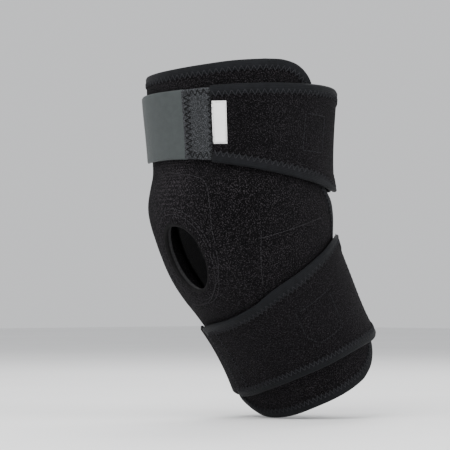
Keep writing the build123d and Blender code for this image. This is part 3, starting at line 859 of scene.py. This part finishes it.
WING_TOP = (103.5, -0.10, -0.225)
LOW_WING_FOOT = (-117.8, 0.043, 0.115)
wing_turns = np.linspace(119, 261, 74)
wing_top = np.stack([wing_turns, thigh_run(wing_turns, WING_TOP)], axis=1)
WING_FOOT = (
    (119, 23), (127, 22.6), (134, 26.6), (145, 35), (162, 42.8), (180, 45.8),
    (198, 43), (215, 35.5), (226, 28), (235, 23.4), (246, 25), (261, 28),
)
wing_foot = smooth_line(WING_FOOT)
wing_outline = join(
    wing_foot,
    straight_line(wing_foot[-1], wing_top[-1]),
    wing_top[::-1],
    straight_line(wing_top[0], wing_foot[0]),
)
upper_wing = dress(cloth("upper_wing_cloth", wing_outline, BODY), LOOP)
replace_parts(upper_wing, "upper_back_wing")

low_wing_turns = np.linspace(147, 261, 60)
low_wing_foot = np.stack([low_wing_turns, calf_run(low_wing_turns, LOW_WING_FOOT)], axis=1)
LOW_WING_TOP = (
    (131, -29.8), (145, -39), (162, -46.6), (180, -49.8), (198, -46.8),
    (215, -38.4), (228, -29.5), (237, -23.4), (248, -22.6), (261, -22.6),
)
low_wing_top = smooth_line(LOW_WING_TOP)
low_wing_end = smooth_line((LOW_WING_TOP[0], (137, -60), (143, -92), (147, low_wing_foot[0, 1])))
low_wing_outline = join(
    low_wing_foot,
    straight_line(low_wing_foot[-1], low_wing_top[-1]),
    low_wing_top[::-1],
    low_wing_end,
)
lower_wing = dress(cloth("lower_wing_cloth", low_wing_outline, BODY), LOOP)
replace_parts(lower_wing, "lower_back_wing")

wing_top_tape = dress(tape("upper_wing_top_tape", wing_top[::-1], BODY), TAPE)
wing_foot_tape = dress(tape("popliteal_upper_tape", wing_foot, BODY), TAPE)
low_wing_edge = join(low_wing_top[::-1], low_wing_end)
low_wing_top_tape = dress(tape("popliteal_lower_tape", low_wing_edge, BODY), TAPE)
low_wing_foot_tape = dress(tape("lower_wing_foot_tape", low_wing_foot, BODY), TAPE)
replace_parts(wing_top_tape, "upper_wing_top_binding")
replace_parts(wing_foot_tape, "popliteal_upper_binding")
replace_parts(low_wing_top_tape, "popliteal_lower_binding")
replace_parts(low_wing_foot_tape, "lower_wing_foot_binding")

# ---- straps, loop ends and hook tabs


def strap_outline(top, foot, start, end, shrink=0.0):
    """The outline of a strap between two turns, running anticlockwise."""
    upper, lower = part_of(top, end, start), part_of(foot, start, end)
    upper[:, 1] -= shrink
    lower[:, 1] += shrink
    return join(lower, straight_line(lower[-1], upper[0]), upper, straight_line(upper[-1], lower[0]))


def rounded_tab(top, foot, start, end, radius):
    """A strap outline whose start has rounded corners."""
    upper, lower = part_of(top, end, start + radius), part_of(foot, start + radius, end)
    high, low = upper[-1, 1], lower[0, 1]
    turned = [math.pi / 2 * k / 8 for k in range(1, 8)]
    near = [(radius * (1 - math.sin(w)), radius * (1 - math.cos(w))) for w in turned]
    top_corner = [(start + a, high - b) for a, b in near]
    foot_corner = [(start + b, low + a) for a, b in near]
    return join(lower, straight_line(lower[-1], upper[0]), upper, top_corner, foot_corner)


def strap_relief(turn, run):
    """How far a strap stands proud where the flap's edge is under it."""
    out = hump(turn, run, (92, 60), (9, 60), 0.5)
    return out + hump(turn, run, (96, -60), (10, 50), 0.4)


strap_box = np.array([(85.5, 75.5), (84, 51), (102.5, 50), (104.5, 74.5), (85.5, 75.5)])
low_box = np.array([(56, -48.8), (56, -68.4), (63.5, -77.4), (88, -76), (88, -46.5), (56, -48.8)])
upper_shape = strap_outline(STRAP_TOP, STRAP_FOOT, STRAP_START, STRAP_ROOT)
lower_shape = strap_outline(LOW_STRAP_TOP, LOW_STRAP_FOOT, -8, STRAP_ROOT)
worn = {"lift": strap_relief, "cap": 0.6}
upper_band = cloth("upper_strap_band", upper_shape, STRAP, sewn=[strap_box], **worn)
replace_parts(dress(upper_band, LOOP_STRAP), "upper_strap_web", "upper_strap_anchor")
lower_band = cloth("lower_strap_band", lower_shape, STRAP, sewn=[low_box], **worn)
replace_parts(dress(lower_band, LOOP_STRAP), "lower_strap_web", "lower_strap_anchor")


def strap_tape(name, line, start, end):
    """Tape on a strap's edge, which runs from one turn to another with the strap on its left."""
    return dress(tape(name, part_of(line, start, end), STRAP, lift=strap_relief), TAPE)


upper_top_tape = strap_tape("upper_strap_top_tape", STRAP_TOP, STRAP_ROOT, STRAP_START)
upper_foot_tape = strap_tape("upper_strap_foot_tape", STRAP_FOOT, STRAP_START, STRAP_ROOT)
lower_top_tape = strap_tape("lower_strap_top_tape", LOW_STRAP_TOP, STRAP_ROOT, -23)
lower_foot_tape = strap_tape("lower_strap_foot_tape", LOW_STRAP_FOOT, -23, STRAP_ROOT)
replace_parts(upper_top_tape, "upper_strap_top_binding")
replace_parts(upper_foot_tape, "upper_strap_bottom_binding")
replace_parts(lower_top_tape, "lower_strap_top_binding")
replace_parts(lower_foot_tape, "lower_strap_bottom_binding")

upper_end_shape = strap_outline(STRAP_TOP, STRAP_FOOT, 9, 27.7, 0.3)
lower_end_shape = strap_outline(LOW_STRAP_TOP, LOW_STRAP_FOOT, -24, -7.8, 0.3)
upper_end = dress(cloth("upper_loop_end", upper_end_shape, LOOP_END), LOOP_GREY)
lower_end = dress(cloth("lower_loop_end", lower_end_shape, LOOP_END), LOOP_STRAP)
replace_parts(upper_end, "upper_strap_end")
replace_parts(lower_end, "lower_strap_end")

upper_tab_shape = rounded_tab(STRAP_TOP, STRAP_FOOT, -52, 10.4, 9)
lower_tab_shape = rounded_tab(LOW_STRAP_TOP, LOW_STRAP_FOOT, -56, -22.5, 9)
upper_tab = dress(cloth("upper_tab", upper_tab_shape, TAB_FACES), TAB)
lower_tab = dress(cloth("lower_tab", lower_tab_shape, TAB_FACES), LOOP_STRAP)
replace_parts(upper_tab, "upper_hook_tab")
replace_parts(lower_tab, "lower_hook_tab")

upper_hook_shape = strap_outline(STRAP_TOP, STRAP_FOOT, -49, 6, 3)
lower_hook_shape = strap_outline(LOW_STRAP_TOP, LOW_STRAP_FOOT, -53, -28, 3)
upper_hooks = dress(cloth("upper_hook_field", upper_hook_shape, HOOK_FACES), HOOKS)
lower_hooks = dress(cloth("lower_hook_field", lower_hook_shape, HOOK_FACES), HOOKS)
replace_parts(upper_hooks, "upper_hook_tape")
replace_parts(lower_hooks, "lower_hook_tape")

label_outline = np.array([(28.2, 54.2), (36.6, 54.2), (36.6, 82.4), (28.2, 82.4)])
label = dress(cloth("woven_label", label_outline, LABEL_FACES, spacing=1.5), LABEL)
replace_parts(label, "strap_label")

# ---- stays, their pockets and caps


def merged(name, parts):
    """Several meshes as one, and the parts removed."""
    verts, faces, uvs = [], [], []
    for part in parts:
        base = len(verts)
        verts += [tuple(v.co) for v in part.data.vertices]
        faces += [tuple(base + i for i in p.vertices) for p in part.data.polygons]
        flat = np.zeros((len(part.data.vertices), 2))
        for loop, uv in zip(part.data.loops, part.data.uv_layers[0].data):
            flat[loop.vertex_index] = uv.uv
        uvs.append(flat)
        bpy.data.objects.remove(part)
    return new_mesh(name, verts, faces, np.vstack(uvs))


def strip(name, turn, low, high, half_width, faces, seam_run=None):
    """A straight strip of cloth that stands along the leg."""
    half = half_width / DEG_MM
    outline = join(
        straight_line((turn - half, low), (turn + half, low)),
        straight_line((turn + half, low), (turn + half, high)),
        straight_line((turn + half, high), (turn - half, high)),
        straight_line((turn - half, high), (turn - half, low)),
    )
    return cloth(name, outline, faces, spacing=2.4, seam_run=seam_run)


def coil(name, turn, low, high):
    """A flat spiral stay: a flattened coil of steel wire, standing along the leg."""
    pitch, steps, wire = 2.4, 12, 0.5
    half_width, half_depth, middle = 2.6, 0.45, -0.6
    count = int((high - low) / pitch * steps)
    at = np.arange(count + 1)
    angle = 2 * math.pi * at / steps
    across = half_width * np.cos(angle) / DEG_MM
    out = middle + half_depth * np.sin(angle)
    line = place(turn + across, low + pitch * at / steps, out)
    ahead = np.gradient(line, axis=0)
    ahead /= np.linalg.norm(ahead, axis=1, keepdims=True)
    side = np.cross(ahead, (0, 0, 1.0))
    side /= np.linalg.norm(side, axis=1, keepdims=True)
    verts, faces = tube(line, side, np.cross(side, ahead), wire)
    return new_mesh(name, verts, faces, np.zeros((len(verts), 2)))


STAY_TURN = 84
STAY_RUNS = {"upper": (0.4, 90), "lower": (-104, -0.4)}
CAP_RUNS = {"upper": (87, 94), "lower": (-108, -101)}
POCKET_PAST = 8  # how far a pocket goes on past its stay
stay_parts, pocket_parts = {}, {}
for side_name, sign in (("outer", 1), ("inner", -1)):
    turn = sign * STAY_TURN
    for half, (low, high) in STAY_RUNS.items():
        stay = coil(f"{side_name}_stay_{half}", turn, low, high)
        pocket_low = low - POCKET_PAST if half == "lower" else 0
        pocket_high = high + POCKET_PAST if half == "upper" else 0
        name = f"{side_name}_pocket_{half}"
        pocket = strip(name, turn, pocket_low, pocket_high, 9, POCKET_FACES, seam_run=0)
        stay_parts[side_name, half] = dress(stay, STEEL)
        pocket_parts[side_name, half] = dress(pocket, LINING)
    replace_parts(stay_parts[side_name, "upper"], f"{side_name}_spiral_stay")
    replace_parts(pocket_parts[side_name, "upper"], f"{side_name}_stay_pocket")


def caps(name, low, high):
    """The caps on one end of both stays, as one piece."""
    return merged(name, [strip("cap", t, low, high, 4, CAP_FACES) for t in (STAY_TURN, -STAY_TURN)])


upper_caps = caps("upper_caps", *CAP_RUNS["upper"])
lower_caps = caps("lower_caps", *CAP_RUNS["lower"])
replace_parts(dress(upper_caps, CAP), "upper_stay_caps")
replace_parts(dress(lower_caps, CAP), "lower_stay_caps")

# ---- stitching

# How far the stitches stand off the leg on each fabric, and what the tape adds.
body_out, strap_out, end_out = BODY[1] + 0.05, STRAP[1] + 0.05, STRAP[1] + 0.25
tape_out = 0.55


def bar_row(a, b, width, out, lift=None):
    """A straight zigzag row from one place to another."""
    return zigzag_stitches(straight_line(a, b), width=width), out, lift


def tape_row(edge, out, lift=None):
    """The zigzag row that holds the tape on an edge, with the cloth on the edge's left."""
    return zigzag_stitches(shifted(edge, TAPE_STITCH)), out + tape_out, lift


upper_seam_rows = [
    (straight_stitches(line, 2.4), body_out, relief)
    for line in (*upper_seams, round_hole(True, 5), straight_line((55, 5.4), (53, 0.3)))
]
lower_seam_rows = [
    (straight_stitches(line, 2.4), body_out, relief) for line in (*lower_seams, round_hole(False, 5))
]
upper_rows = [
    tape_row(upper_edge, body_out, relief),
    bar_row((INNER_SEAM, 28), (INNER_SEAM, 102), 4, body_out, relief),
]
lower_rows = [
    tape_row(lower_edge, body_out, relief),
    bar_row((INNER_SEAM, -24), (INNER_SEAM, -112), 4, body_out, relief),
]
wing_rows = [tape_row(wing_top[::-1], body_out), tape_row(wing_foot, body_out)]
low_wing_rows = [tape_row(low_wing_edge, body_out), tape_row(low_wing_foot, body_out)]


def box_rows(corners, pitch=3.0, out=strap_out, lift=strap_relief):
    """Rows of running stitches between the corners of a figure on a strap."""
    lines = [straight_line(a, b) for a, b in zip(corners, corners[1:])]
    return [(straight_stitches(line, pitch), out, lift) for line in lines]


upper_strap_rows = box_rows(strap_box) + [
    tape_row(part_of(STRAP_TOP, STRAP_ROOT, 28), strap_out, strap_relief),
    tape_row(part_of(STRAP_FOOT, 28, STRAP_ROOT), strap_out, strap_relief),
    bar_row((ROOT_STITCH, 30), (ROOT_STITCH, 88), 5, strap_out, strap_relief),
]
lower_strap_rows = box_rows(low_box) + [
    tape_row(part_of(LOW_STRAP_TOP, STRAP_ROOT, -22), strap_out, strap_relief),
    tape_row(part_of(LOW_STRAP_FOOT, -22, STRAP_ROOT), strap_out, strap_relief),
    bar_row((ROOT_STITCH, -30), (ROOT_STITCH, -102), 5, strap_out, strap_relief),
]
upper_end_rows = [
    bar_row((27.4, 45), (27.4, 90), 3.4, end_out),
    bar_row((12.9, 47), (12.9, 88), 4.4, end_out),
    (zigzag_stitches(shifted(part_of(STRAP_TOP, 26, 12.5), 3.2), width=4), end_out, None),
    (zigzag_stitches(shifted(part_of(STRAP_FOOT, 12.5, 26), 3.2), width=4), end_out, None),
]
lower_end_rows = [
    bar_row((-8, -101), (-8, -45), 3.4, end_out),
    bar_row((-20.5, -104), (-20.5, -50), 3.4, end_out),
]
label_frame = np.array([(28.9, 55.0), (35.9, 55.0), (35.9, 81.6), (28.9, 81.6), (28.9, 55.0)])
label_rows = box_rows(label_frame, 2.0, LABEL_FACES[1], None)

stitching = {
    "upper_seam_stitching": (upper_seam_rows, THREAD_GREY, on_thigh),
    "lower_seam_stitching": (lower_seam_rows, THREAD_GREY, on_calf),
    "upper_body_stitching": (upper_rows, THREAD, on_thigh),
    "lower_body_stitching": (lower_rows, THREAD, on_calf),
    "upper_wing_stitching": (wing_rows, THREAD, lambda o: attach(o, "thigh_section")),
    "lower_wing_stitching": (low_wing_rows, THREAD, lambda o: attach(o, "calf_section")),
    "upper_strap_stitching": (upper_strap_rows, THREAD, on_upper_strap),
    "lower_strap_stitching": (lower_strap_rows, THREAD, on_lower_strap),
    "upper_end_stitching": (upper_end_rows, THREAD_BLACK, lambda o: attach(o, "upper_strap")),
    "lower_end_stitching": (lower_end_rows, THREAD, lambda o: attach(o, "lower_strap")),
    "label_stitching": (label_rows, THREAD_PALE, lambda o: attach(o, "upper_strap")),
}
for name, (rows, material, follow) in stitching.items():
    follow(dress(thread(name, rows), material))

# ---- where each piece goes: pieces handed to attach follow a body, the rest only get their placement baked in

for piece in (upper_body, upper_tape, upper_rim, upper_foam):
    on_thigh(piece)
for piece in (lower_body, lower_tape, lower_rim, lower_foam):
    on_calf(piece)
for parts in (stay_parts, pocket_parts):
    for side_name in ("outer", "inner"):
        on_thigh(parts[side_name, "upper"])
        on_calf(parts[side_name, "lower"])
for piece in (upper_wing, wing_top_tape, wing_foot_tape, upper_caps):
    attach(piece, "thigh_section")
for piece in (lower_wing, low_wing_top_tape, low_wing_foot_tape, lower_caps):
    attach(piece, "calf_section")
for piece in (upper_band, upper_top_tape, upper_foot_tape):
    on_upper_strap(piece)
for piece in (lower_band, lower_top_tape, lower_foot_tape):
    on_lower_strap(piece)
for piece in (upper_end, label):
    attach(piece, "upper_strap")
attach(lower_end, "lower_strap")
for piece in (upper_tab, upper_hooks):
    on_upper_tab(piece)
for piece in (lower_tab, lower_hooks):
    on_lower_tab(piece)

# ---- floor, light and camera

floor_z = min(cad_low.z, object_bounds()[0].z) - 0.0005
bpy.ops.mesh.primitive_plane_add(size=8, location=(0, 0, floor_z))
floor = bpy.context.object
floor.name = "floor"
floor_material, floor_tree, floor_shader = nodes_of("floor_pale")
floor_grain = noise(floor_tree, body_space(floor_tree), 3, 2.0)
floor_colour = ramp(floor_tree, floor_grain, ((0.3, (0.80, 0.80, 0.80)), (0.7, (0.84, 0.84, 0.84))))
feed(floor_tree, floor_shader, {"Base Color": floor_colour, "Roughness": 0.8})
floor.data.materials.append(floor_material)
floor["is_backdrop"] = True

world = bpy.data.worlds.new("studio")
world.use_nodes = True
sky = world.node_tree
feed(sky, sky.nodes["Background"], {"Color": (0.93, 0.94, 0.96, 1), "Strength": 0.85})
bpy.context.scene.world = world

KNEE_MIDDLE = Vector((0, 0.00443, -0.00165))


def direction(azimuth, elevation):
    """The way from the knee to something: azimuth is from the front towards the outer side."""
    a, e = math.radians(azimuth), math.radians(elevation)
    return Vector((math.sin(a) * math.cos(e), -math.cos(a) * math.cos(e), math.sin(e)))


def softbox(name, azimuth, elevation, distance, size, power):
    """A square lamp that faces the knee."""
    towards = direction(azimuth, elevation)
    light = bpy.data.lights.new(name, "AREA")
    light.size = size
    light.energy = power
    lamp = bpy.data.objects.new(name, light)
    bpy.context.scene.collection.objects.link(lamp)
    lamp.location = KNEE_MIDDLE + towards * distance
    lamp.rotation_euler = (-towards).to_track_quat("-Z", "Y").to_euler()


softbox("key", 20, 45, 1.3, 0.9, 22)
softbox("fill", 100, 20, 1.5, 1.0, 12)
softbox("back", 215, 50, 1.4, 0.8, 14)

towards = direction(45, -2)
camera = bpy.data.objects.new("camera", bpy.data.cameras.new("camera"))
bpy.context.scene.collection.objects.link(camera)
camera.data.sensor_width = 36
camera.data.lens = 173.9
camera.rotation_euler = (-towards).to_track_quat("-Z", "Y").to_euler()
turned = camera.rotation_euler.to_matrix()
right, upward = turned @ Vector((1, 0, 0)), turned @ Vector((0, 1, 0))
camera.location = KNEE_MIDDLE + towards * 1.5 - right * 0.0145 + upward * 0.0024
bpy.context.scene.camera = camera

low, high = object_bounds()
